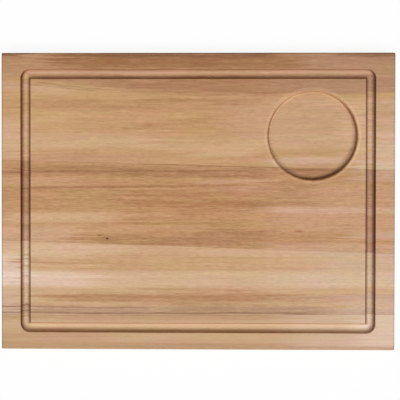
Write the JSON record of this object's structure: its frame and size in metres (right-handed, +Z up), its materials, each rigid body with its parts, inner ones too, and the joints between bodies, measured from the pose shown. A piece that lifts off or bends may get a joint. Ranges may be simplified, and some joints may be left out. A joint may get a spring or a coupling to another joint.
{
  "type": "steak board",
  "caption": "Flat rectangular wooden serving board of glued staves, with a juice groove round the top face and a shallow round seat for a sauce pot in one corner.",
  "frame": {"origin": "under the middle of the board, on its underside", "axes": "+X along the grain to the right, +Y to the rear edge, +Z up out of the grooved face; the pot seat is at +X +Y"},
  "size_m": [0.4, 0.302, 0.018],
  "materials": {
    "rear_wood": "satin",
    "dark_wood": "satin",
    "pale_wood": "satin",
    "front_wood": "satin"
  },
  "bodies": {
    "root": {"rear_stave": "rear_wood", "dark_stave": "dark_wood", "pale_stave": "pale_wood", "front_stave": "front_wood"}
  },
  "joints": []
}
